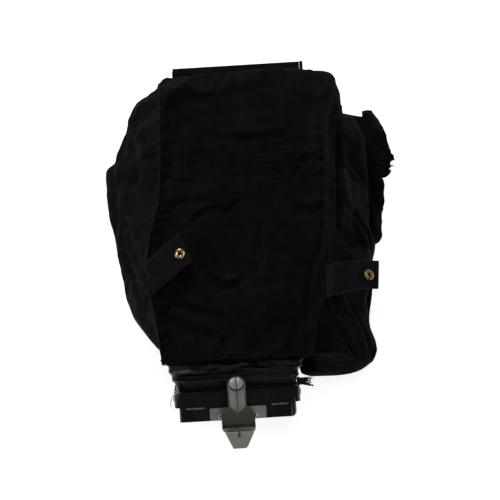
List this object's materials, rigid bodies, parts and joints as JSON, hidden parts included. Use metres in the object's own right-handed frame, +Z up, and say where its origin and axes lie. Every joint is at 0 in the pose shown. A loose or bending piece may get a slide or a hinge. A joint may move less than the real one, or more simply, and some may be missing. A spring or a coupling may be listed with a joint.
{
  "type": "mower grass catcher bag",
  "caption": "Soft woven side-discharge grass catcher bag with a rigid chute collar, sprung latch and grip, slide-on rear closure and two snap straps.",
  "frame": {"origin": "on the floor under the middle of the whole object's box, with the bag lying on its bottom panel", "axes": "+Y from the chute mouth to the rear closure, +X to the right as seen from the chute, +Z up"},
  "size_m": [0.4951, 0.7012, 0.1873],
  "materials": {
    "woven_cloth": "matt woven polyester",
    "binding": "matt woven tape",
    "webbing": "flat woven webbing",
    "vinyl": "glossy coated vinyl",
    "chute_plastic": "semi-gloss black moulding",
    "channel_plastic": "semi-gloss black extrusion",
    "grip_plastic": "satin grey moulding",
    "zinc": "bright zinc plate, slightly greenish",
    "spring_steel": "plain drawn wire",
    "brass": "polished brass"
  },
  "bodies": {
    "bag": {"top_panel": "woven_cloth", "bottom_panel": "woven_cloth", "left_gusset": "woven_cloth", "right_gusset": "woven_cloth", "front_panel": "woven_cloth", "top_seam_binding": "binding", "bottom_seam_binding": "binding", "front_seam_binding": "binding", "gathered_side_flap": "woven_cloth", "hem_bead_upper": "binding", "hem_bead_lower": "binding", "strap_anchor_left": "webbing", "strap_anchor_right": "webbing", "snap_stud_left": "brass", "snap_stud_right": "brass"},
    "collar": {"vinyl_cuff": "vinyl", "cuff_seam_tail": "vinyl", "clamp_wire": "zinc", "chute_tube": "chute_plastic", "flange_collar": "chute_plastic", "collar_rivets": "zinc", "latch_bracket": "zinc", "bracket_rivets": "zinc", "latch_pin": "zinc", "latch_spring": "spring_steel"},
    "latch": {"latch_lever": "zinc", "grip_left_half": "grip_plastic", "grip_right_half": "grip_plastic", "grip_rivets": "zinc"},
    "channel": {"closure_channel": "channel_plastic", "channel_end_cap": "channel_plastic"},
    "left_strap": {"strap_left": "webbing", "snap_cap_left": "brass", "snap_socket_left": "brass"},
    "right_strap": {"strap_right": "webbing", "snap_cap_right": "brass", "snap_socket_right": "brass"}
  },
  "joints": [
    {"name": "neck_flex", "type": "hinge", "parent": "bag", "child": "collar", "pos_m": [-0.0415, -0.21868, 0.07284], "axis": [-1, 0, 0], "range_deg": [0, 25], "deforming": ["vinyl_cuff"]},
    {"name": "latch_swing", "type": "hinge", "parent": "collar", "child": "latch", "pos_m": [-0.0415, -0.31808, 0.08111], "axis": [-1, 0, 0], "range_deg": [0, 14], "stiffness_Nm_per_rad": 1.5, "springref_deg": -20.05, "deforming": ["latch_spring"]},
    {"name": "closure_slide", "type": "slide", "parent": "bag", "child": "channel", "axis": [1, 0, 0], "range_m": [0, 0.24]},
    {"name": "left_strap_flip", "type": "hinge", "parent": "bag", "child": "left_strap", "pos_m": [-0.1794, -0.06653, 0.135], "axis": [0.2221, -0.9732, -0.0588], "range_deg": [0, 150]},
    {"name": "right_strap_flip", "type": "hinge", "parent": "bag", "child": "right_strap", "pos_m": [0.1235, -0.09443, 0.146], "axis": [-0.07, -0.9975, 0], "range_deg": [0, 92]}
  ]
}
